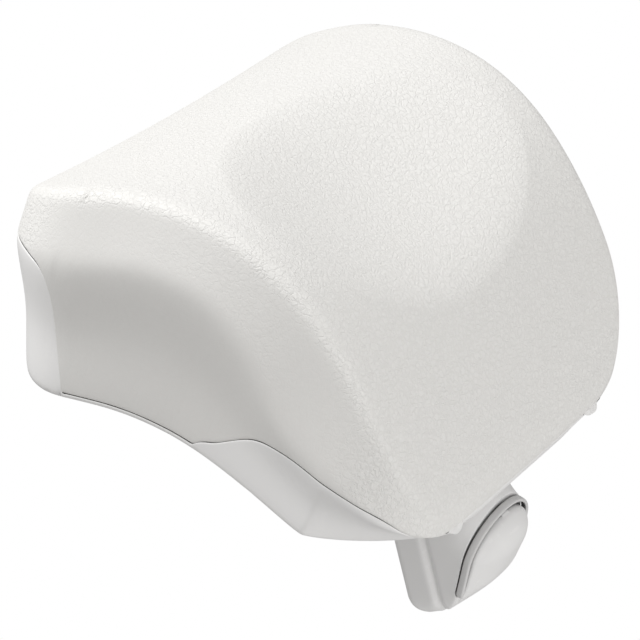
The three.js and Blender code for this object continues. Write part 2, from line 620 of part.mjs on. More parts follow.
// The part's origin is the middle of its box.
const middle = new THREE.Box3().setFromObject(assembly).getCenter(new THREE.Vector3());
assembly.position.copy(middle.negate());

export default assembly;
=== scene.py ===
"""Looks of the chair headrest attachment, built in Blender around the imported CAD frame.

The soft pad, its shell and the visible pieces of the arm are fine meshes made here, in millimetres,
and turned into metres when they become objects. The other CAD nodes keep their shape and get a material.
"""
import json
import math

import bmesh
import bpy
import numpy as np
from mathutils import Matrix, Vector


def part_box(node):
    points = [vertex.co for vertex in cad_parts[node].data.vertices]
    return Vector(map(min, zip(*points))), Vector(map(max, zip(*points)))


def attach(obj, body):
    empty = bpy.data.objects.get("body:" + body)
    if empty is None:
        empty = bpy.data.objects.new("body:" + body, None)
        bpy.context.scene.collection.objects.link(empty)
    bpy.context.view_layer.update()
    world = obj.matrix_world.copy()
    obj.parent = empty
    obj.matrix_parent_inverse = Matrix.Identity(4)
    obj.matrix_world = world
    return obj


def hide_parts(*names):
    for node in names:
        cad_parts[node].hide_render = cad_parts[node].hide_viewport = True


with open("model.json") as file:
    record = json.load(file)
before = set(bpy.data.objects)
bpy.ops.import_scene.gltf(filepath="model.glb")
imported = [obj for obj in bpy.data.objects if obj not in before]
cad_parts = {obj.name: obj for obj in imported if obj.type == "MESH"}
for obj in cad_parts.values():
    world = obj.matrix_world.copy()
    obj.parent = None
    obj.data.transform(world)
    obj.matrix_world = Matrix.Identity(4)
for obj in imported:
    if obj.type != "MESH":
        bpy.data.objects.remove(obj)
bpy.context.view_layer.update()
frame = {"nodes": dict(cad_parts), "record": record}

MM = 0.001
# Sizes below are measured from the middle of the pad, where the tilt axle lies at this depth and height.
AXLE_AT = np.array([0.0, 28.0, -74.0])
AXLE_BOX = np.array(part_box("tilt_axle")) / MM
SHIFT = (AXLE_BOX[0] + AXLE_BOX[1]) / 2 * [0, 1, 1] - AXLE_AT


def box_mm(node):
    """Lowest and highest corner of a CAD node in millimetres, measured from the middle of the pad."""
    low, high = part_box(node)
    return np.array(low) / MM - SHIFT, np.array(high) / MM - SHIFT


def to_frame():
    """Matrix from millimetres about the pad's middle to metres in the frame."""
    return Matrix.Scale(MM, 4) @ Matrix.Translation(SHIFT)


# ---- pad dimensions, millimetres ----------------------------------------
CUSHION_LOW, CUSHION_HIGH = box_mm("cushion")
TOP, BOTTOM = CUSHION_HIGH[2], CUSHION_LOW[2]
TOP_BACK = 75.0
RIDGE_TOP, RIDGE_BOTTOM, WAIST = 121.5, 103.0, 1.6
CORNER_TOP, CORNER_BOTTOM = 34.0, 37.0
BEVEL_OUT, BEVEL_CORNER, SIDE_TUCK, SIDE_PULL = 12.0, 8.0, 4.0, 2.5
DOME, DOME_PEAK, LEAN, WING, WING_AT = 58.0, 3.0, 0.126, 3.4, 93.0
EDGE_TOP, EDGE_BOTTOM = 9.0, 5.0
BACK_WIDE, BACK_TALL, BACK_POWER = 76.0, 41.0, 0.56
DISH_X, DISH_Z, DISH_AT, DISH_DEEP, DISH_POWER = 94.0, 57.0, 3.5, 13.0, 1.35
SHELL_WALL = 2.6
# The bevel ends, and the seam stays, at least this far in front of the back.
BACK_CLEAR = 3.0
# How much of the top's slant towards the back is taken up across the bevel.
BEVEL_SHARE = 0.15
CAVITY_X, CAVITY_LOW, CAVITY_HIGH = 78.0, -86.0, 78.0
CAVITY_FRONT = (9.0, -6.0)
CAVITY_SQUARE = 12
OPENING = {"half": 40.0, "low": -99.0, "high": -46.0, "r": 8.0, "lip": 1.4}
SCREW_HOLE_R = 2.1

# Height, depth knots of the back, of the line where bevel and side meet, and of the seam. In the
# middle heights the seam's knots lie behind the back, so seam_depth keeps it just before the back edge.
BACK_KNOTS = [(90, 40), (58, 40), (46, 36), (22, 28), (-6, 24.5), (-34, 26.5), (-62, 31), (-110, 31)]
BEVEL_KNOTS = [(104, -6), (77, -15), (32, -37), (10, -39), (-13, -30), (-38, -9), (-56, -2), (-80, 8),
               (-106, 20)]
SEAM_KNOTS = [(115, -3), (104, -5), (90, -10.5), (79, -12.5), (73, -12), (66, -6), (56, 14), (48, 28),
              (42, 40), (20, 60), (0, 50), (-8, 24), (-18, 15), (-30, 5), (-42, 1.5), (-60, 2),
              (-76, 5), (-90, 10.5), (-98, 17), (-104, 22.3), (-115, 27)]
# Half the height that the curves cover, and the spacing of their samples.
CURVE_REACH, CURVE_STEP = 130.0, 0.5


def height_curve(knots, soften):
    """Depth as a function of height through the knots, rounded off over soften millimetres."""
    z, y = np.array(sorted(knots), float).T
    slope = np.gradient(y, z)
    grid = np.arange(-CURVE_REACH, CURVE_REACH + CURVE_STEP, CURVE_STEP)
    i = np.clip(np.searchsorted(z, grid) - 1, 0, len(z) - 2)
    gap = z[i + 1] - z[i]
    t = np.clip((grid - z[i]) / gap, 0, 1)
    value = ((2 * t**3 - 3 * t**2 + 1) * y[i] + (t**3 - 2 * t**2 + t) * gap * slope[i]
             + (3 * t**2 - 2 * t**3) * y[i + 1] + (t**3 - t**2) * gap * slope[i + 1])
    if soften:
        reach = int(3 * soften / CURVE_STEP)
        kernel = np.exp(-0.5 * (np.arange(-reach, reach + 1) * CURVE_STEP / soften) ** 2)
        value = np.convolve(np.pad(value, reach, mode="edge"), kernel / kernel.sum(), mode="valid")
    return lambda at: np.interp(at, grid, value)


back_depth = height_curve(BACK_KNOTS, 5)
bevel_depth = height_curve(BEVEL_KNOTS, 3)
raw_seam = height_curve(SEAM_KNOTS, 1.5)


def seam_depth(z):
    return np.minimum(raw_seam(z), back_depth(z) - BACK_CLEAR)


def front_depth(x, z):
    """Depth of the domed front with its oval dish."""
    rho2 = (x / DISH_X) ** 2 + ((z - DISH_AT) / DISH_Z) ** 2
    dish = DISH_DEEP * np.clip(1 - rho2, 0, None) ** DISH_POWER
    u = (z - DOME_PEAK) / TOP
    return dish - (DOME * (1 - u * u) + LEAN * z + WING * (x / WING_AT) ** 2)


def arc_draw(radius, beyond):
    """How far an arc has drawn in at a distance beyond its start."""
    inside = np.clip(beyond, 0, radius)
    return radius - np.sqrt(radius**2 - inside**2)


def half_width(z, grow, corner):
    t = (z - BOTTOM) / (TOP - BOTTOM)
    side = RIDGE_BOTTOM + (RIDGE_TOP - RIDGE_BOTTOM) * t + grow - WAIST * 4 * t * (1 - t)
    top, bottom = CORNER_TOP + corner, CORNER_BOTTOM + corner
    return side - arc_draw(top, z - (TOP - top)) - arc_draw(bottom, BOTTOM + bottom - z)


def back_half_width(z):
    beyond = np.clip((BOTTOM + BACK_TALL - z) / BACK_TALL, 0, 1)
    draw = BACK_WIDE * (1 - np.sqrt(1 - beyond**2)) ** BACK_POWER
    return half_width(np.maximum(z, BOTTOM + BACK_TALL), BEVEL_OUT, BEVEL_CORNER) - SIDE_TUCK - draw


TURN_ROWS, MIDDLE_ROWS = 19, 192


def pad_levels():
    """Heights of the rings, close together where the two ends turn over."""
    turn = np.linspace(0, math.pi / 2, TURN_ROWS)
    low = BOTTOM + EDGE_BOTTOM * (1 - np.sin(turn[::-1]))
    high = TOP - EDGE_TOP * (1 - np.sin(turn))
    middle = np.linspace(low[-1], high[0], MIDDLE_ROWS)[1:-1]
    return np.concatenate([low, middle, high])


# Points along the four stretches of a half ring.
SPLIT = {"front": 200, "bevel": 70, "side": 90, "back": 100}
# How many points the rounding of each edge reaches to both sides, and how it is done.
SOFTEN = {"ridge": 42, "side": 46, "back": 14, "back_share": 0.06, "rounds": 110}


def pad_half_rings(z):
    """Right half of each ring, from the middle of the front to the middle of the back."""
    z = z[:, None]
    z_back = np.where(z > 0, z * TOP_BACK / TOP, z)
    rounding = np.where(z > 0, arc_draw(EDGE_TOP, z - (TOP - EDGE_TOP)),
                        arc_draw(EDGE_BOTTOM, BOTTOM + EDGE_BOTTOM - z))
    ridge = half_width(z, 0, 0) - rounding
    side = half_width(z, BEVEL_OUT, BEVEL_CORNER) - rounding
    back = back_half_width(z) - rounding
    y_ridge = front_depth(ridge, z) + rounding
    y_back = back_depth(z_back) - rounding
    y_bevel = np.minimum(bevel_depth(z) + rounding, y_back - BACK_CLEAR)

    def steps(name):
        return np.linspace(0, 1, SPLIT[name], endpoint=False)[None, :]

    front_x = ridge * steps("front")
    front = (front_x, front_depth(front_x, z) + rounding, 0 * front_x)
    t = steps("bevel")
    bevel = (ridge + (side - ridge) * t, y_ridge + (y_bevel - y_ridge) * t, BEVEL_SHARE * t + 0 * side)
    t = steps("side")
    pull = SIDE_PULL * np.sin(math.pi * t) ** 2
    sides = (side + (back - side) * t - pull, y_bevel + (y_back - y_bevel) * t,
             BEVEL_SHARE + (1 - BEVEL_SHARE) * t + 0 * side)
    t = np.linspace(0, 1, SPLIT["back"])[None, :]
    rear = (back * (1 - t), y_back + 0 * t, 1 + 0 * t + 0 * side)
    x, y, share = (np.concatenate([part[k] for part in (front, bevel, sides, rear)], axis=1)
                   for k in range(3))
    rings = np.stack([x, y, z + (z_back - z) * share], axis=2)
    return soften_rings(rings)


def soften_rings(rings):
    """Rounds the ridge and the bevel's outer edge generously and the back edge tightly."""
    at_ridge = SPLIT["front"]
    at_side = at_ridge + SPLIT["bevel"]
    at_back = at_side + SPLIT["side"]
    k = np.arange(rings.shape[1])

    def near(where, reach):
        return np.clip(1.4 * (1 - np.abs(k - where) / reach), 0, 1)

    ease = 0.5 * np.maximum(near(at_ridge, SOFTEN["ridge"]), near(at_side, SOFTEN["side"]))
    ease = np.maximum(ease, SOFTEN["back_share"] * near(at_back, SOFTEN["back"]))
    ease = ease[None, 1:-1, None]
    for _ in range(SOFTEN["rounds"]):
        bend = rings[:, :-2] - 2 * rings[:, 1:-1] + rings[:, 2:]
        rings[:, 1:-1] += 0.5 * ease * bend
    return rings


def arc_lengths(line):
    return np.concatenate([[0], np.cumsum(np.linalg.norm(np.diff(line, axis=0), axis=1))])


def part_of_line(line, length, start, stop, spread):
    """Points of a line between two lengths along it, placed by spread, which runs 0 to 1."""
    at = start + (stop - start) * spread
    return np.stack([np.interp(at, length, line[:, k]) for k in range(3)], axis=1)


def seam_crossing(line, length):
    """Length along a half ring where it meets the seam surface."""
    over = line[:, 1] - seam_depth(line[:, 2])
    start = SPLIT["front"] + 5
    k = start + int(np.argmax(over[start:] > 0))
    share = over[k - 1] / (over[k - 1] - over[k])
    return length[k - 1] + share * (length[k] - length[k - 1])


# ---- mesh helpers -------------------------------------------------------
def grid_faces(rows, columns, start=0, flip=False):
    i, j = np.meshgrid(np.arange(rows - 1), np.arange(columns - 1), indexing="ij")
    a = (i * columns + j).ravel() + start
    quads = np.stack([a, a + 1, a + 1 + columns, a + columns], axis=1)
    return quads[:, ::-1] if flip else quads


WELD, SLIVER = 0.002, 0.001


class Skin:
    """Collects grids of points and welds them into one mesh."""

    def __init__(self):
        self.points = []
        self.faces = []
        self.count = 0

    def grid(self, points, flip=False):
        rows, columns = points.shape[:2]
        self.points.append(points.reshape(-1, 3))
        self.faces.append(grid_faces(rows, columns, self.count, flip))
        self.count += rows * columns

    def weld(self):
        mesh = bpy.data.meshes.new("skin")
        mesh.from_pydata(np.concatenate(self.points).tolist(), [], np.concatenate(self.faces).tolist())
        made = bmesh.new()
        made.from_mesh(mesh)
        bpy.data.meshes.remove(mesh)
        bmesh.ops.remove_doubles(made, verts=made.verts, dist=WELD)
        bmesh.ops.dissolve_degenerate(made, edges=made.edges, dist=SLIVER)
        bmesh.ops.recalc_face_normals(made, faces=made.faces)
        made.normal_update()
        outward = sum(v.normal.dot(v.co) for v in made.verts)
        if outward < 0:
            bmesh.ops.reverse_faces(made, faces=made.faces)
            made.normal_update()
        return made


def boundary_loop(made):
    """The open edge of a mesh as an ordered list of its vertices."""
    open_edges = [e for e in made.edges if e.is_boundary]
    start = open_edges[0].verts[0]
    loop, last, at = [start], None, start
    while True:
        step = next(e for e in at.link_edges if e.is_boundary and e is not last)
        at, last = step.other_vert(at), step
        if at is start:
            return loop
        loop.append(at)


def rim_frames(loop, depth_way):
    """For each vertex of an open edge: its place, the way in and the way the skin runs out.

    The skin runs out towards +Y when depth_way is 1 and towards -Y when it is -1.
    """
    place = np.array([v.co for v in loop])
    way_in = -np.array([v.normal for v in loop])
    way_in = smooth_loop(way_in, 6)
    tangent = np.roll(place, -1, axis=0) - np.roll(place, 1, axis=0)
    tangent /= np.linalg.norm(tangent, axis=1)[:, None]
    side = np.cross(way_in, tangent)
    side *= (np.where(side[:, 1] < 0, -1, 1) * depth_way)[:, None]
    return place, way_in, smooth_loop(side, 4)


def smooth_loop(vectors, times):
    """Unit vectors evened out along a closed loop."""
    for _ in range(times):
        vectors = vectors + 0.5 * (np.roll(vectors, 1, axis=0) - 2 * vectors + np.roll(vectors, -1, axis=0))
    return vectors / np.linalg.norm(vectors, axis=1)[:, None]


def add_ring(made, before, points):
    """Joins a new ring of vertices to the last one with quads."""
    after = [made.verts.new(p) for p in points]
    n = len(after)
    for i in range(n):
        made.faces.new((before[i], before[(i + 1) % n], after[(i + 1) % n], after[i]))
    return after


def finish_mesh(made, name, body, material, sharp=40.0):
    """Turns a mesh in millimetres into a smooth-shaded piece that rides on a body."""
    bmesh.ops.recalc_face_normals(made, faces=made.faces)
    mesh = bpy.data.meshes.new(name)
    made.to_mesh(mesh)
    made.free()
    mesh.transform(to_frame())
    mesh.shade_smooth()
    mesh.set_sharp_from_angle(angle=math.radians(sharp))
    piece = bpy.data.objects.new(name, mesh)
    bpy.context.scene.collection.objects.link(piece)
    mesh.materials.append(material)
    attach(piece, body)
    return piece


# ---- cushion and shell --------------------------------------------------
# Edge radii at the seam, the gap between them and how far the cushion's edge turns inwards.
LIP = {"cushion": 0.9, "shell": 0.55, "gap": 0.34, "inward": 6.0}
COLUMNS = {"cushion": 168, "shell_side": 34, "shell_back": 45}
# The shell's side columns end this far round the back edge.
PAST_EDGE = 4.0
CAP_ROWS = 12


def half_ring_parts(rings):
    """Each half ring cut at the seam, as cushion and shell columns of points."""
    cushion, shell = [], []
    even = np.linspace(0, 1, COLUMNS["cushion"])
    beside = np.linspace(0, 1, COLUMNS["shell_side"])
    behind = np.linspace(0, 1, COLUMNS["shell_back"]) ** 1.4
    for line in rings:
        length = arc_lengths(line)
        seam = seam_crossing(line, length)
        edge = length[SPLIT["front"] + SPLIT["bevel"] + SPLIT["side"]]
        stop = seam - LIP["gap"] / 2 - LIP["cushion"]
        cushion.append(part_of_line(line, length, 0, stop, even))
        start = seam + LIP["gap"] / 2 + LIP["shell"]
        around = part_of_line(line, length, start, edge + PAST_EDGE, beside)
        across = part_of_line(line, length, edge + PAST_EDGE, length[-1], behind)
        shell.append(np.concatenate([around, across[1:]]))
    return np.array(cushion), np.array(shell)


def mirrored(points):
    return points * np.array([-1, 1, 1])


BOW_CLEAR = 1.2


def end_bow(row):
    """How far the seam must bow back across an end to stay behind the cushion's last row."""
    middle = row[len(row) // 2]
    return max(0.0, middle[1] + BOW_CLEAR - row[0][1])


def end_cap(skin, row, steps, flip, bow):
    """Flat end between a ring's open row and the bowed line that joins its two ends."""
    share = arc_lengths(row)
    share = share / share[-1]
    line = row[0] + (row[-1] - row[0]) * share[:, None]
    line[:, 1] += bow * (1 - (2 * share - 1) ** 4)
    v = np.linspace(0, 1, steps)[:, None, None] ** 1.3
    skin.grid(row[None] + (line - row)[None] * v, flip)


def closed_skin(whole, bows):
    """Rings closed over both ends and left open along the seam."""
    skin = Skin()
    skin.grid(whole)
    end_cap(skin, whole[-1], CAP_ROWS, False, bows[1])
    end_cap(skin, whole[0], CAP_ROWS, True, bows[0])
    return skin.weld()


def rounded_lip(made, radius, depth_way, steps=4):
    """Turns the open edge over with a small radius; gives the last ring and its frames."""
    loop = boundary_loop(made)
    place, way_in, out = rim_frames(loop, depth_way)
    for turn in np.linspace(0, math.pi / 2, steps + 1)[1:]:
        shift = radius * (math.sin(turn) * out + (1 - math.cos(turn)) * way_in)
        loop = add_ring(made, loop, place + shift)
    return loop, place + radius * out + radius * way_in, way_in


def cavity_front(z):
    low, high = CAVITY_FRONT
    return low + (high - low) * (z - CAVITY_LOW) / (CAVITY_HIGH - CAVITY_LOW)


def cavity_rim(points):
    """Rounded rectangle of the cavity, sampled at the bearing of each outer point."""
    middle = (CAVITY_LOW + CAVITY_HIGH) / 2
    tall = (CAVITY_HIGH - CAVITY_LOW) / 2
    bearing = np.arctan2((points[:, 2] - middle) / tall, points[:, 0] / CAVITY_X)
    c, s = np.cos(bearing), np.sin(bearing)
    reach = (np.abs(c) ** CAVITY_SQUARE + np.abs(s) ** CAVITY_SQUARE) ** (-1 / CAVITY_SQUARE)
    return CAVITY_X * reach * c, middle + tall * reach * s


def make_cushion(whole, bows, material):
    """Foam pad: outer skin, a lip turned in along the seam, and the cavity for the carrier plate."""
    made = closed_skin(whole, bows)
    loop, edge, way_in = rounded_lip(made, LIP["cushion"], 1)
    # Where the way in points mostly forwards or back, the lip is short, so it stays in the foam.
    reach = LIP["inward"] * np.clip(1 - 1.2 * np.abs(way_in[:, 1:2]), 0.08, 1)
    loop = add_ring(made, loop, edge + reach * way_in)
    x, z = cavity_rim(edge)
    rim = np.stack([x, np.minimum(seam_depth(z), 60) - 0.5, z], axis=1)
    loop = add_ring(made, loop, rim)
    floor = np.stack([x, cavity_front(z), z], axis=1)
    loop = add_ring(made, loop, floor)
    made.faces.new(loop)
    piece = finish_mesh(made, "foam_cushion", "headrest", material)
    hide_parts("cushion")
    return piece


def make_shell(whole, bows, material):
    """Moulded shell with a wall, a rounded edge at the seam, the arm's opening and screw holes."""
    made = closed_skin(whole, bows)
    skin_verts = list(made.verts)
    made.verts.index_update()
    skin_faces = [[v.index for v in f.verts] for f in made.faces]
    outer = np.array([v.co for v in skin_verts])
    normals = np.array([v.normal for v in skin_verts])
    edge_verts = [v.index for v in boundary_loop(made)]
    loop, edge, way_in = rounded_lip(made, LIP["shell"], -1)
    inner = outer - SHELL_WALL * normals
    inner[edge_verts] = edge + (SHELL_WALL - LIP["shell"]) * way_in
    # Where the pad thins out at its lower corners the wall thins too, so it stays behind the seam.
    behind_seam = np.minimum(seam_depth(inner[:, 2]) + 0.3, outer[:, 1] - 0.3)
    inner[:, 1] = np.maximum(inner[:, 1], behind_seam)
    inner_verts = [made.verts.new(p) for p in inner]
    for face in skin_faces:
        made.faces.new([inner_verts[i] for i in reversed(face)])
    inner_loop = [inner_verts[i] for i in edge_verts]
    n = len(loop)
    for i in range(n):
        made.faces.new((loop[i], loop[(i + 1) % n], inner_loop[(i + 1) % n], inner_loop[i]))
    piece = finish_mesh(made, "rear_shell", "headrest", material)
    cut(piece, opening_cutter())
    for name in ("shell_screw_1", "shell_screw_2", "shell_screw_3", "shell_screw_4"):
        cut(piece, screw_hole_cutter(name))
    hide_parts("back_shell")
    return piece


def rounded_rectangle(grow, n=12):
    """Outline of the arm opening in x and z, widened by grow."""
    half, low, high = OPENING["half"] + grow, OPENING["low"] - grow, OPENING["high"] + grow
    r = OPENING["r"] + grow
    corners = [(half - r, low + r, -90), (half - r, high - r, 0), (r - half, high - r, 90),
               (r - half, low + r, 180)]
    outline = []
    for x, z, start in corners:
        for a in np.radians(start + np.linspace(0, 90, n)):
            outline.append((x + r * math.cos(a), z + r * math.sin(a)))
    return np.array(outline)


def opening_cutter():
    """Prism through the shell's back whose outer end flares, so the cut edge is rounded."""
    made = bmesh.new()
    radius = OPENING["lip"]
    rings = [(-30.0, 0.0, False)]
    rings += [(-radius * (1 - math.sin(a)), radius * (1 - math.cos(a)), True)
              for a in np.linspace(0, math.pi / 2, 6)]
    rings.append((8.0, radius * 1.02, True))
    loop = None
    for depth, grow, follow in rings:
        xz = rounded_rectangle(grow)
        y = back_depth(xz[:, 1]) + depth if follow else np.full(len(xz), depth + 30.0)
        points = np.stack([xz[:, 0], y, xz[:, 1]], axis=1)
        if loop is None:
            loop = [made.verts.new(p) for p in points]
            made.faces.new(loop)
        else:
            loop = add_ring(made, loop, points)
    made.faces.new(loop)
    return made


def screw_hole_cutter(node):
    """Round bar along the depth, through the shell at a screw."""
    low, high = box_mm(node)
    middle = (low + high) / 2
    made = bmesh.new()
    angles = np.linspace(0, 2 * math.pi, 25)[:-1]
    ring = np.stack([middle[0] + SCREW_HOLE_R * np.cos(angles), 0 * angles + low[1],
                     middle[2] + SCREW_HOLE_R * np.sin(angles)], axis=1)
    loop = [made.verts.new(p) for p in ring]
    made.faces.new(loop)
    loop = add_ring(made, loop, ring + [0, high[1] - low[1] + 5, 0])
    made.faces.new(loop)
    return made


def cut(piece, cutter):
    """Subtracts a closed mesh, in millimetres, from a piece."""
    bmesh.ops.recalc_face_normals(cutter, faces=cutter.faces)
    mesh = bpy.data.meshes.new("cutter")
    cutter.to_mesh(mesh)
    cutter.free()
    mesh.transform(to_frame())
    tool = bpy.data.objects.new("cutter", mesh)
    bpy.context.scene.collection.objects.link(tool)
    step = piece.modifiers.new("cut", "BOOLEAN")
    step.operation = "DIFFERENCE"
    step.solver = "MANIFOLD"
    step.object = tool
    bpy.context.view_layer.update()
    graph = bpy.context.evaluated_depsgraph_get()
    result = bpy.data.meshes.new_from_object(piece.evaluated_get(graph), depsgraph=graph)
    piece.modifiers.clear()
    old = piece.data
    piece.data = result
    result.set_sharp_from_angle(angle=math.radians(40))
    bpy.data.meshes.remove(old)
    bpy.data.objects.remove(tool)
    bpy.data.meshes.remove(mesh)


# ---- arm cover, trim band and paddle, as distance fields ----------------
SLOPE = math.radians(39.3)
COS, SIN = math.cos(SLOPE), math.sin(SLOPE)
ARM_Y, ARM_Z = 45.0, -54.0
# The arm's upper block sits on a slightly narrower lower one; they meet at depth LEDGE in a groove.
ARM_END, ARM_HALF, ARM_LOW_HALF, LEDGE, ARM_WALL = 69.4, 28.0, 27.1, 13.0, 2.4
ARM_FACE, ARM_FRONT, UPPER_FRONT, UPPER_TURN = 0.4, 37.6, 38.0, 62.0
# Between these heights the lower block's front leans back to the band's front.
LEAN_FROM, LEAN_OVER = -90.0, 15.0
GROOVE_DEEP, GROOVE_WIDE, GROOVE_DOWN = 1.3, 1.5, 1.0
BLEND_EDGE, BLEND_JOIN, BLEND_REAR, BLEND_RIM, BLEND_LEG = 3.0, 2.5, 11.0, 1.2, 2.4
# The domed underside: height of its rim, where it starts to rise towards the rear, and its profile.
RIM_AT, RISE_FROM, RISE_SOFT, RISE = -106.8, 73.0, 10.0, 0.45
CROWN_POWER, CROWN_ROUND, CROWN_PAST = 2.3, 0.62, 1.0
PIN_S, PIN_Q = 57.0, 20.8
PADDLE_LOW, PADDLE_TOP = (v[2] for v in box_mm("release_paddle"))
PADDLE_UNDER = 17.3
RIB_TOP, RIB_Y, RIB_HALF_X, RIB_HALF_Y = -101.2, 48.6, 3.0, 1.4
PIN_HOLE_R, PIN_HOLE_HALF, BOSS_R, BOSS_FROM, BOSS_TO = 1.8, 21.0, 3.2, 16.0, 23.0
LUG_HALF = 19.8
LUG_SLAB = (48, 63.4, 10, 24.0)
SOCKET_HALF = 21.6
SOCKET_SLAB = (60, 90, 3.9, 16.7)
HOUSING_SCREW_X, HOUSING_SCREW_S, HOUSING_SCREW_R, HOUSING_SCREW_TO = 19.3, 30.0, 2.0, 12
NECK_HALF, NECK_Y, NECK_Z = 23.0, (30, 60), (-93, -60)
WELL_ROOM, WELL_TOP = 0.6, -97.0
# The band and the paddle lie round a plane that falls towards the back.
TURN, BAND_FALL = 61.5, 0.22
BAND_HIGH, BAND_LOW = -105.8, -109.0
BAND_HALF, BAND_FRONT, BAND_THICK = 27.6, 44.8, 2.2
# Gap above the band: at its front, how much less it is at the legs, and over which depth it shrinks.
BAND_GAP, BAND_GAP_LESS, BAND_GAP_FROM, BAND_GAP_OVER = 0.85, 0.45, 52, 18
PADDLE_HALF, PADDLE_FRONT, PADDLE_GAP = 23.8, 47.8, 0.12
LEG_END = 77.0


def along(y, z):
    """Place along the arm's sloping axis and depth below its upper face."""
    return (y - ARM_Y) * COS - (z - ARM_Z) * SIN, -(y - ARM_Y) * SIN - (z - ARM_Z) * COS


def lower_of(a, b, blend=0.0):
    """Union of two fields, with a soft joint when blend is above zero."""
    if not blend:
        return np.minimum(a, b)
    h = np.clip(blend - np.abs(a - b), 0, None) / blend
    return np.minimum(a, b) - h * h * blend * 0.25


def higher_of(a, b, blend=0.0):
    return -lower_of(-a, -b, blend)


def horseshoe(x, y, half, front, turn=TURN):
    """Plan distance to an outline with a round front at depth front and straight sides."""
    ahead = np.minimum(y - turn, 0) * half / (turn - front)
    return np.sqrt(x * x + ahead * ahead) - half


def level(y, z):
    """Height above the sloping plane of the band."""
    return z + BAND_FALL * (y - TURN)


def arm_form(x, y, z):
    """The whole outer form of the arm with its domed underside."""
    s, q = along(y, z)
    rear = s - ARM_END
    upper = horseshoe(x, y, ARM_HALF, UPPER_FRONT, UPPER_TURN)
    upper = higher_of(upper, ARM_FACE - q, BLEND_EDGE)
    upper = higher_of(upper, q - LEDGE, BLEND_EDGE)
    lean = np.clip((LEAN_FROM - z) / LEAN_OVER, 0, 1)
    front = ARM_FRONT + (BAND_FRONT - ARM_FRONT) * lean * lean * (3 - 2 * lean)
    groove = GROOVE_DEEP * np.exp(-(((q - LEDGE - GROOVE_DOWN) / GROOVE_WIDE) ** 2))
    lower = higher_of(horseshoe(x, y, ARM_LOW_HALF, front) + groove, ARM_FACE - q, BLEND_EDGE)
    ahead = np.minimum(y - TURN, 0) / (TURN - PADDLE_FRONT + CROWN_PAST)
    rho = np.sqrt((x / (PADDLE_HALF + CROWN_PAST)) ** 2 + ahead**2)
    crown = np.clip(1 - np.clip(rho, 0, 1) ** CROWN_POWER, 0, 1) ** CROWN_ROUND
    behind = np.clip(y - RISE_FROM, 0, None)
    rim = RIM_AT - BAND_FALL * (y - TURN)
    bottom = PADDLE_LOW + RISE * behind * behind / (behind + RISE_SOFT)
    underside = rim + np.minimum(bottom - rim, 0) * crown - z
    # The underside is a height and not a true distance, so it is scaled down to blend evenly.
    lower = higher_of(lower, underside * 0.85, BLEND_RIM)
    form = lower_of(upper, lower, BLEND_JOIN)
    return higher_of(form, rear, BLEND_REAR)


def slab(s, q, s0, s1, q0, q1):
    """Block between two places along the arm and two depths below its face."""
    return np.maximum(np.maximum(s0 - s, s - s1), np.maximum(q0 - q, q - q1))


def paddle_plan(x, y):
    return horseshoe(x, y, PADDLE_HALF, PADDLE_FRONT)


def paddle_zone(x, y, z):
    """Negative where the form belongs to the paddle and not to the cover."""
    s, q = along(y, z)
    top = np.maximum(z - PADDLE_TOP, PADDLE_UNDER - q)
    return np.maximum(paddle_plan(x, y), top)


def band_pocket(x, y, z):
    """Room for the band, with a gap above it that is widest at the front."""
    gap = BAND_GAP - BAND_GAP_LESS * np.clip((y - BAND_GAP_FROM) / BAND_GAP_OVER, 0, 1)
    outward = PADDLE_HALF + 0.05 - BAND_HALF - horseshoe(x, y, BAND_HALF, BAND_FRONT)
    room = np.maximum(outward, level(y, z) - BAND_HIGH - gap)
    return higher_of(room, y - LEG_END - 0.3, BLEND_LEG)


def cover_field(x, y, z):
    """Arm cover: a hollow wall with room for the band, paddle, neck, socket mouth and screws."""
    s, q = along(y, z)
    form = arm_form(x, y, z)
    shell = higher_of(form, -band_pocket(x, y, z), 0.4)
    shell = higher_of(shell, PADDLE_GAP - paddle_zone(x, y, z), 0.3)
    hollow = form + ARM_WALL
    well = np.maximum(paddle_plan(x, y) - WELL_ROOM, np.maximum(z - WELL_TOP, y - LEG_END))
    neck = np.maximum(np.maximum(y - NECK_Y[1], NECK_Y[0] - y), np.maximum(z - NECK_Z[1], NECK_Z[0] - z))
    neck = np.maximum(np.abs(x) - NECK_HALF, neck)
    mouth = np.maximum(np.abs(x) - SOCKET_HALF, slab(s, q, *SOCKET_SLAB))
    screws = np.hypot(np.abs(x) - HOUSING_SCREW_X, s - HOUSING_SCREW_S) - HOUSING_SCREW_R
    screws = np.maximum(screws, q - HOUSING_SCREW_TO)
    inside = lower_of(lower_of(hollow, well), lower_of(neck, lower_of(mouth, screws)))
    return higher_of(shell, -inside, 0.5)


def paddle_field(x, y, z):
    """Domed paddle: a hollow cap with two bored bosses for its pin and a rib that lifts the latch."""
    s, q = along(y, z)
    form = arm_form(x, y, z)
    outer = higher_of(form, paddle_zone(x, y, z), 0.8)
    hollow = higher_of(form, paddle_plan(x, y), 1.0) + ARM_WALL
    lugs = np.maximum(np.abs(x) - LUG_HALF, slab(s, q, *LUG_SLAB))
    from_pin = np.hypot(s - PIN_S, q - PIN_Q)
    pin = np.maximum(np.abs(x) - PIN_HOLE_HALF, from_pin - PIN_HOLE_R)
    boss = np.maximum(np.maximum(BOSS_FROM - np.abs(x), np.abs(x) - BOSS_TO), from_pin - BOSS_R)
    body = higher_of(outer, -hollow, 0.4)
    body = lower_of(body, np.maximum(boss, outer))
    body = higher_of(body, -lower_of(lugs, pin), 0.3)
    rib = np.maximum(np.maximum(np.abs(x) - RIB_HALF_X, np.abs(y - RIB_Y) - RIB_HALF_Y), z - RIB_TOP)
    return lower_of(body, np.maximum(rib, form + 1.0))


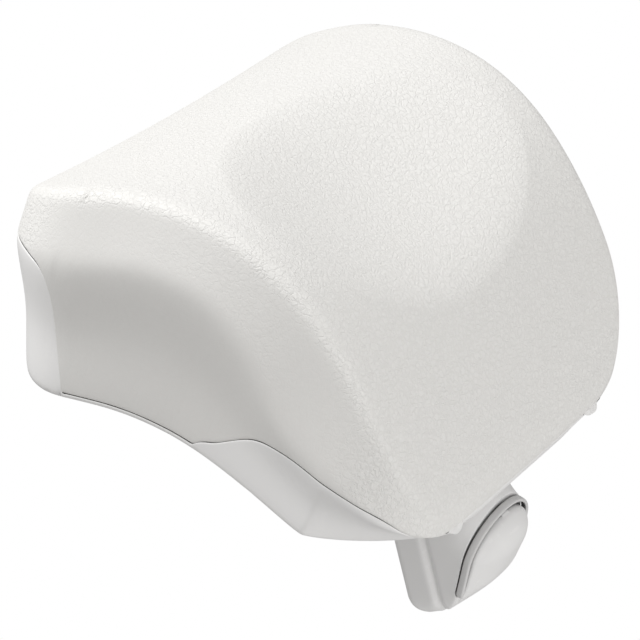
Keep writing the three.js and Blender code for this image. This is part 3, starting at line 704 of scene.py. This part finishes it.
def band_field(x, y, z):
    """Trim band: a rounded strip round the front of the paddle with round leg ends."""
    outline = horseshoe(x, y, BAND_HALF, BAND_FRONT)
    across = np.abs(outline + BAND_THICK / 2) - BAND_THICK / 2
    tall = np.abs(level(y, z) - (BAND_LOW + BAND_HIGH) / 2) - (BAND_HIGH - BAND_LOW) / 2
    strip = higher_of(across, tall, 1.0)
    return higher_of(strip, y - LEG_END, BLEND_LEG)


def surface_net(field, low, high, step):
    """Smooth quad mesh of the zero level of a field, its vertices moved onto the surface."""
    axes = [np.arange(a, b + step, step) for a, b in zip(low, high)]
    grid = np.meshgrid(*axes, indexing="ij")
    value = field(*grid)
    inside = value < 0
    shape = np.array(value.shape) - 1
    total = np.zeros((*shape, 3))
    count = np.zeros(shape)
    corner = [slice(0, -1), slice(1, None)]
    for axis in range(3):
        others = [k for k in range(3) if k != axis]
        for a in (0, 1):
            for b in (0, 1):
                start, stop = [None] * 3, [None] * 3
                start[axis], stop[axis] = corner[0], corner[1]
                start[others[0]] = stop[others[0]] = corner[a]
                start[others[1]] = stop[others[1]] = corner[b]
                v0, v1 = value[tuple(start)], value[tuple(stop)]
                crossed = inside[tuple(start)] != inside[tuple(stop)]
                share = np.where(crossed, v0 / np.where(crossed, v0 - v1, 1), 0)
                place = np.zeros((*shape, 3))
                place[..., axis] = share
                place[..., others[0]] = a
                place[..., others[1]] = b
                total += place * crossed[..., None]
                count += crossed
    active = count > 0
    index = np.full(shape, -1)
    index[active] = np.arange(active.sum())
    cell = np.stack(np.nonzero(active), axis=1)
    points = (cell + total[active] / count[active][:, None]) * step + np.array([a[0] for a in axes])
    faces = []
    for axis in range(3):
        u, v = (axis + 1) % 3, (axis + 2) % 3
        start, stop = [slice(None)] * 3, [slice(None)] * 3
        start[axis], stop[axis] = corner[0], corner[1]
        crossed = inside[tuple(start)] != inside[tuple(stop)]
        outward = inside[tuple(start)]
        spot = np.stack(np.nonzero(crossed), axis=1)
        keep = np.all((spot[:, [u, v]] > 0) & (spot[:, [u, v]] < shape[[u, v]]), axis=1)
        spot = spot[keep]
        way = outward[tuple(spot.T)]
        quad = []
        for du, dv in ((1, 1), (0, 1), (0, 0), (1, 0)):
            c = spot.copy()
            c[:, u] -= du
            c[:, v] -= dv
            quad.append(index[tuple(c.T)])
        quad = np.stack(quad, axis=1)
        quad[~way] = quad[~way][:, ::-1]
        faces.append(quad)
    return settle(field, points, step), np.concatenate(faces)


def settle(field, points, step):
    """Moves points onto the zero level along the field's slope."""
    h = 0.05
    for _ in range(4):
        value = field(*points.T)
        slope = np.stack([field(*(points + h * unit).T) - field(*(points - h * unit).T)
                          for unit in np.eye(3)], axis=1) / (2 * h)
        size2 = np.clip((slope**2).sum(axis=1), 0.25, None)
        move = -(value / size2)[:, None] * slope
        far = np.linalg.norm(move, axis=1)
        points = points + move * np.clip(0.3 * step / np.maximum(far, 1e-9), 0, 1)[:, None]
    return points


def field_piece(name, field, node, body, material, step, margin=3.5, sharp=38.0):
    """Builds a piece from its field, in the space of the CAD node it stands for."""
    low, high = box_mm(node)
    points, faces = surface_net(field, low - margin, high + margin, step)
    mesh = bpy.data.meshes.new(name)
    mesh.from_pydata(points.tolist(), [], faces.tolist())
    made = bmesh.new()
    made.from_mesh(mesh)
    bpy.data.meshes.remove(mesh)
    drop_crumbs(made)
    piece = finish_mesh(made, name, body, material, sharp)
    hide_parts(node)
    return piece


def drop_crumbs(made):
    """Keeps only the largest connected part of a mesh."""
    unseen = set(made.verts)
    groups = []
    while unseen:
        stack = [unseen.pop()]
        group = []
        while stack:
            v = stack.pop()
            group.append(v)
            for e in v.link_edges:
                o = e.other_vert(v)
                if o in unseen:
                    unseen.remove(o)
                    stack.append(o)
        groups.append(group)
    groups.sort(key=len)
    for group in groups[:-1]:
        bmesh.ops.delete(made, geom=group, context="VERTS")


# ---- materials ----------------------------------------------------------
class Nodes:
    """Short way to write a node material."""

    def __init__(self, name, roughness=0.5, metallic=0.0):
        self.material = bpy.data.materials.new(name)
        self.material.use_nodes = True
        self.tree = self.material.node_tree
        self.tree.nodes.clear()
        self.shader = self.add("ShaderNodeBsdfPrincipled")
        self.shader.inputs["Roughness"].default_value = roughness
        self.shader.inputs["Metallic"].default_value = metallic
        out = self.add("ShaderNodeOutputMaterial")
        self.link(self.shader.outputs[0], out.inputs[0])
        self.place = self.add("ShaderNodeTexCoord").outputs["Object"]

    def add(self, kind, **values):
        node = self.tree.nodes.new(kind)
        for name, value in values.items():
            setattr(node, name, value)
        return node

    def link(self, output, socket):
        self.tree.links.new(output, socket)

    def put(self, socket, value):
        if isinstance(value, bpy.types.NodeSocket):
            self.link(value, socket)
        else:
            socket.default_value = value

    def math(self, operation, a, b=0.0):
        node = self.add("ShaderNodeMath", operation=operation)
        self.put(node.inputs[0], a)
        self.put(node.inputs[1], b)
        return node.outputs[0]

    def vector(self, operation, a, b):
        node = self.add("ShaderNodeVectorMath", operation=operation)
        self.put(node.inputs[0], a)
        self.put(node.inputs[1], b)
        return node.outputs[0]

    def noise(self, size_mm, detail=2.0, rough=0.5, place=None, colour=False):
        """Noise with features of a size in millimetres, as a number or as three numbers."""
        node = self.add("ShaderNodeTexNoise")
        self.put(node.inputs["Vector"], place or self.place)
        node.inputs["Scale"].default_value = 1 / (size_mm * MM)
        node.inputs["Detail"].default_value = detail
        node.inputs["Roughness"].default_value = rough
        return node.outputs["Color" if colour else "Fac"]

    def cells(self, size_mm, place):
        """Distance to the nearest edge between cells."""
        node = self.add("ShaderNodeTexVoronoi", feature="DISTANCE_TO_EDGE")
        self.put(node.inputs["Vector"], place)
        node.inputs["Scale"].default_value = 1 / (size_mm * MM)
        return node.outputs["Distance"]

    def ease(self, value, low, high, to_low=0.0, to_high=1.0):
        """Smooth step of a value between low and high."""
        node = self.add("ShaderNodeMapRange", interpolation_type="SMOOTHSTEP")
        for socket, number in zip(node.inputs, (value, low, high, to_low, to_high)):
            self.put(socket, number)
        return node.outputs[0]

    def blend(self, share, a, b):
        """Between colours a and b."""
        node = self.add("ShaderNodeMix", data_type="RGBA")
        self.put(node.inputs["Factor"], share)
        self.put(node.inputs["A"], a)
        self.put(node.inputs["B"], b)
        return node.outputs["Result"]

    def mix(self, share, a, b):
        """Between numbers a and b."""
        return self.math("ADD", self.math("MULTIPLY", a, self.math("SUBTRACT", 1.0, share)),
                         self.math("MULTIPLY", b, share))

    def bump(self, height, distance_mm, strength=1.0):
        node = self.add("ShaderNodeBump")
        self.put(node.inputs["Height"], height)
        node.inputs["Distance"].default_value = distance_mm * MM
        node.inputs["Strength"].default_value = strength
        self.link(node.outputs[0], self.shader.inputs["Normal"])

    def edge(self, low=0.51, high=0.58):
        """Rises to one on sharp outward edges."""
        return self.ease(self.add("ShaderNodeNewGeometry").outputs["Pointiness"], low, high)

    def painted_gap_shade(self, reach_mm, low=0.2, high=0.75):
        """Rises to one deep in narrow gaps, where the materials paint shade into their colour."""
        node = self.add("ShaderNodeAmbientOcclusion", samples=8)
        node.inputs["Distance"].default_value = reach_mm * MM
        return self.ease(node.outputs["AO"], low, high, 1.0, 0.0)

    def colour(self, value):
        self.put(self.shader.inputs["Base Color"], value)

    def rough(self, value):
        self.put(self.shader.inputs["Roughness"], value)


def grey(value, warm=0.0):
    return (value * (1 + warm), value, value * (1 - warm), 1)


# Foam colours; side is painted shade for the pad's two side faces.
FOAM = {"dark": (0.868, 0.858, 0.836, 1), "pale": (0.885, 0.873, 0.848, 1),
        "hollow": (0.70, 0.685, 0.66, 1), "side": (0.3, 0.29, 0.28, 1), "edge": (0.92, 0.91, 0.89, 1)}
# Sizes of the grain in millimetres; wander is how far its cells are pushed about.
GRAIN = {"pebble": 2.7, "small": 1.2, "soft": 2.4, "streak": 0.9, "push": 1.9, "wander": 3.4,
         "deep": 0.24}
STREAK_SLANT, STREAK_SQUEEZE = math.radians(24), 0.09


def leather_material():
    """Skinned foam: wrinkled pebble grain, drawn out into fine streaks on the two side faces, with painted
    shade on those faces and in narrow gaps.
    """
    n = Nodes("skinned_foam", 0.55)
    push = n.vector("SUBTRACT", n.noise(GRAIN["push"], 3, colour=True), (0.5, 0.5, 0.5))
    place = n.vector("ADD", n.place, n.vector("MULTIPLY", push, (GRAIN["wander"] * MM,) * 3))
    pebble = n.ease(n.cells(GRAIN["pebble"], place), 0.0, 0.2)
    small = n.ease(n.cells(GRAIN["small"], place), 0.0, 0.3)
    soft = n.noise(GRAIN["soft"], 4, 0.65)
    grain = n.math("ADD", n.math("MULTIPLY", pebble, 0.62), n.math("MULTIPLY", small, 0.26))
    grain = n.math("ADD", grain, n.math("MULTIPLY", soft, 0.5))
    turn = n.add("ShaderNodeMapping")
    n.link(n.place, turn.inputs["Vector"])
    turn.inputs["Rotation"].default_value = (STREAK_SLANT, 0, 0)
    turn.inputs["Scale"].default_value = (1.0, STREAK_SQUEEZE, 1.0)
    streak = n.noise(GRAIN["streak"], 3, 0.65, turn.outputs[0])
    normal = n.add("ShaderNodeSeparateXYZ")
    n.link(n.add("ShaderNodeTexCoord").outputs["Normal"], normal.inputs[0])
    side = n.ease(n.math("ABSOLUTE", normal.outputs["X"]), 0.8, 0.96)
    height = n.mix(side, grain, n.math("MULTIPLY", streak, 0.42))
    n.bump(height, GRAIN["deep"], 0.85)
    cloud = n.noise(38.0, 3)
    hollow = n.math("SUBTRACT", 1.0, pebble)
    base = n.blend(n.math("MULTIPLY", cloud, 0.5), FOAM["dark"], FOAM["pale"])
    base = n.blend(n.math("MULTIPLY", hollow, n.mix(side, 0.16, 0.04)), base, FOAM["hollow"])
    # Painted shade: the two side faces are darkened towards the side colour.
    base = n.blend(n.math("MULTIPLY", side, 0.14), base, FOAM["side"])
    base = n.blend(n.math("MULTIPLY", n.edge(0.52, 0.62), 0.25), base, FOAM["edge"])
    # Painted shade: the colour goes nearly black deep in narrow gaps such as the seam.
    n.colour(n.blend(n.math("MULTIPLY", n.painted_gap_shade(0.9, 0.15, 0.6), 0.85), base, grey(0.06)))
    n.rough(n.math("ADD", 0.5, n.math("MULTIPLY", n.math("ADD", hollow, cloud), 0.09)))
    n.shader.inputs["Specular IOR Level"].default_value = 0.34
    n.shader.inputs["Sheen Weight"].default_value = 0.06
    n.shader.inputs["Sheen Roughness"].default_value = 0.5
    return n.material


def plastic_material(name, tone, warm=0.008, rough=0.4, texture=0.035):
    """Satin moulded plastic with a very fine eroded texture, paler edges and painted shade deep in narrow
    gaps.
    """
    n = Nodes(name, rough)
    fine = n.noise(0.34, 3, 0.6)
    flow = n.noise(26.0, 2)
    base = n.blend(flow, grey(tone * 0.985, warm), grey(tone * 1.015, warm))
    base = n.blend(n.math("MULTIPLY", n.edge(), 0.3), base, grey(min(tone * 1.12, 0.95), warm))
    # Painted shade: the colour goes nearly black deep in narrow gaps between parts.
    n.colour(n.blend(n.math("MULTIPLY", n.painted_gap_shade(3.0, 0.3, 0.72), 0.96), base, grey(0.012)))
    n.rough(n.math("ADD", rough - 0.06, n.math("MULTIPLY", n.math("ADD", fine, flow), 0.07)))
    n.bump(n.math("ADD", fine, n.math("MULTIPLY", n.noise(1.6, 2), 0.5)), texture)
    return n.material


def dark_nylon_material():
    n = Nodes("glass_filled_nylon", 0.55)
    fibre = n.noise(0.8, 4, 0.7)
    base = n.blend(n.noise(9.0, 3), grey(0.035), grey(0.06))
    n.colour(n.blend(n.math("MULTIPLY", n.edge(), 0.35), base, grey(0.14)))
    n.rough(n.math("ADD", 0.42, n.math("MULTIPLY", fibre, 0.22)))
    n.bump(fibre, 0.08)
    return n.material


def ivory_nylon_material():
    n = Nodes("natural_nylon", 0.42)
    base = n.blend(n.noise(6.0, 3), (0.74, 0.71, 0.62, 1), (0.8, 0.78, 0.7, 1))
    n.colour(n.blend(n.math("MULTIPLY", n.edge(), 0.3), base, (0.88, 0.87, 0.82, 1)))
    n.shader.inputs["Subsurface Weight"].default_value = 0.12
    n.shader.inputs["Subsurface Scale"].default_value = 0.002
    n.rough(n.math("ADD", 0.36, n.math("MULTIPLY", n.noise(1.2, 3), 0.14)))
    n.bump(n.noise(0.6, 2), 0.03)
    return n.material


def cast_material():
    n = Nodes("cast_aluminium", 0.45, 0.95)
    pits = n.noise(1.1, 4, 0.7)
    base = n.blend(n.noise(14.0, 3), grey(0.44), grey(0.56))
    n.colour(n.blend(n.math("MULTIPLY", n.edge(), 0.6), base, grey(0.75)))
    n.rough(n.math("ADD", 0.34, n.math("MULTIPLY", pits, 0.26)))
    n.bump(pits, 0.12)
    return n.material


def steel_material():
    n = Nodes("zinc_plated_steel", 0.3, 1.0)
    turn = n.add("ShaderNodeMapping")
    n.link(n.place, turn.inputs["Vector"])
    turn.inputs["Scale"].default_value = (0.12, 1.0, 1.0)
    lines = n.noise(0.35, 2, 0.6, turn.outputs[0])
    base = n.blend(n.noise(3.5, 3), (0.56, 0.57, 0.58, 1), (0.66, 0.66, 0.62, 1))
    n.colour(n.blend(n.math("MULTIPLY", n.edge(), 0.5), base, grey(0.85)))
    n.rough(n.math("ADD", 0.22, n.math("MULTIPLY", lines, 0.16)))
    n.bump(lines, 0.02)
    return n.material


LEATHER = leather_material()
SHELL = plastic_material("satin_shell", 0.90)
COVER = plastic_material("satin_cover", 0.84)
TRIM = plastic_material("satin_trim", 0.66, rough=0.36, texture=0.02)
FINISHES = {"leather": LEATHER, "shell": SHELL, "trim": TRIM, "inner": dark_nylon_material(),
            "nylon": ivory_nylon_material(), "cast": cast_material(), "steel": steel_material()}


# ---- building -----------------------------------------------------------
def build_pad():
    cushion, shell = half_ring_parts(pad_half_rings(pad_levels()))
    cushion = np.concatenate([mirrored(cushion[:, :0:-1]), cushion], axis=1)
    shell = np.concatenate([shell, mirrored(shell[:, -2::-1])], axis=1)
    bows = end_bow(cushion[0]), end_bow(cushion[-1])
    make_cushion(cushion, bows, LEATHER)
    make_shell(shell, bows, SHELL)


STEP_QUICK, STEP_FULL, STEP_BAND = 0.55, 0.45, 0.4


def build_arm():
    step = STEP_FULL
    field_piece("arm_cover", cover_field, "pod_housing", "mount_arm", COVER, step)
    field_piece("paddle", paddle_field, "release_paddle", "paddle", COVER, step)
    field_piece("band", band_field, "trim_band", "mount_arm", TRIM, STEP_BAND, 7.0, 60)


def finish_cad_nodes():
    """Gives each CAD node its material, and smooth shading to those that stay in view."""
    slots = {part["node"]: part["material_slot"] for part in frame["record"]["subparts"]}
    for name, node in frame["nodes"].items():
        finish = FINISHES[slots[name]]
        for spot in node.material_slots:
            spot.material = finish
        if not node.material_slots:
            node.data.materials.append(finish)
        if node.hide_render:
            continue
        node.data.shade_smooth()
        node.data.set_sharp_from_angle(angle=math.radians(32))


def look_at(thing, place, target, up):
    """Places a camera or lamp and turns its view axis to the target."""
    back = (place - target).normalized()
    side = up.cross(back).normalized()
    turn = Matrix((side, back.cross(side), back)).transposed().to_4x4()
    thing.matrix_world = Matrix.Translation(place) @ turn


# Viewing angle: below and to the left of the pad, rolled so that the pad lies on a slant.
VIEW = {"from": Vector((-1.0514, -0.6967, -0.3234)), "to": Vector((-0.00916, 0.01447, -0.0014)),
        "up": Vector((0.339, -0.7655, 0.547)), "lens": 178.5}


def make_camera():
    camera = bpy.data.objects.new("camera", bpy.data.cameras.new("camera"))
    bpy.context.scene.collection.objects.link(camera)
    camera.data.lens = VIEW["lens"]
    camera.data.sensor_width = 36.0
    pad_middle = Vector(SHIFT) * MM
    look_at(camera, VIEW["from"] + pad_middle, VIEW["to"] + pad_middle, VIEW["up"])
    bpy.context.scene.camera = camera


def area_light(name, way, distance, size, power):
    """Soft square lamp that shines on the object from a direction."""
    lamp = bpy.data.objects.new(name, bpy.data.lights.new(name, "AREA"))
    lamp.data.size = size
    lamp.data.energy = power
    bpy.context.scene.collection.objects.link(lamp)
    place = Vector(way).normalized() * distance
    look_at(lamp, place, Vector((0, 0, 0)), Vector((0.1, 0.2, 1)))


# Name, direction from the object, distance and size in metres, and power in watts. The two fills
# stay above the floor, which would hide them.
LAMPS = [("key", (-0.35, -0.62, 0.9), 1.9, 1.1, 30),
         ("low_fill", (-0.05, -0.72, -0.5), 0.85, 0.6, 1.9),
         ("under_fill", (-0.3, 0.3, -0.9), 0.5, 0.5, 0.35)]
FLOOR_Z = -0.55


def make_stage():
    """Pale floor well below the low camera; it is seen from above only, and lights the underside."""
    made = bmesh.new()
    bmesh.ops.create_grid(made, x_segments=8, y_segments=8, size=6.0)
    mesh = bpy.data.meshes.new("floor")
    made.to_mesh(mesh)
    made.free()
    floor = bpy.data.objects.new("floor", mesh)
    floor.location.z = FLOOR_Z
    bpy.context.scene.collection.objects.link(floor)
    n = Nodes("pale_floor", 0.9)
    n.colour(n.blend(n.noise(400.0, 2), grey(0.78, 0.004), grey(0.81, 0.004)))
    clear = n.add("ShaderNodeBsdfTransparent")
    both = n.add("ShaderNodeMixShader")
    n.link(n.add("ShaderNodeNewGeometry").outputs["Backfacing"], both.inputs[0])
    n.link(n.shader.outputs[0], both.inputs[1])
    n.link(clear.outputs[0], both.inputs[2])
    out = next(x for x in n.tree.nodes if x.type == "OUTPUT_MATERIAL")
    n.link(both.outputs[0], out.inputs[0])
    mesh.materials.append(n.material)


AMBIENT = 0.38


def make_world():
    """White to the camera, a softer even light for the object."""
    world = bpy.data.worlds.new("studio")
    bpy.context.scene.world = world
    world.use_nodes = True
    tree = world.node_tree
    tree.nodes.clear()
    path = tree.nodes.new("ShaderNodeLightPath")
    seen = tree.nodes.new("ShaderNodeBackground")
    seen.inputs[0].default_value = (1, 1, 1, 1)
    lighting = tree.nodes.new("ShaderNodeBackground")
    lighting.inputs[0].default_value = (1.0, 0.995, 0.985, 1)
    lighting.inputs[1].default_value = AMBIENT
    both = tree.nodes.new("ShaderNodeMixShader")
    tree.links.new(path.outputs["Is Camera Ray"], both.inputs[0])
    tree.links.new(lighting.outputs[0], both.inputs[1])
    tree.links.new(seen.outputs[0], both.inputs[2])
    out = tree.nodes.new("ShaderNodeOutputWorld")
    tree.links.new(both.outputs[0], out.inputs[0])


build_pad()
build_arm()
finish_cad_nodes()
make_camera()
make_stage()
make_world()
for lamp in LAMPS:
    area_light(*lamp)
bpy.context.scene.view_settings.view_transform = "Standard"
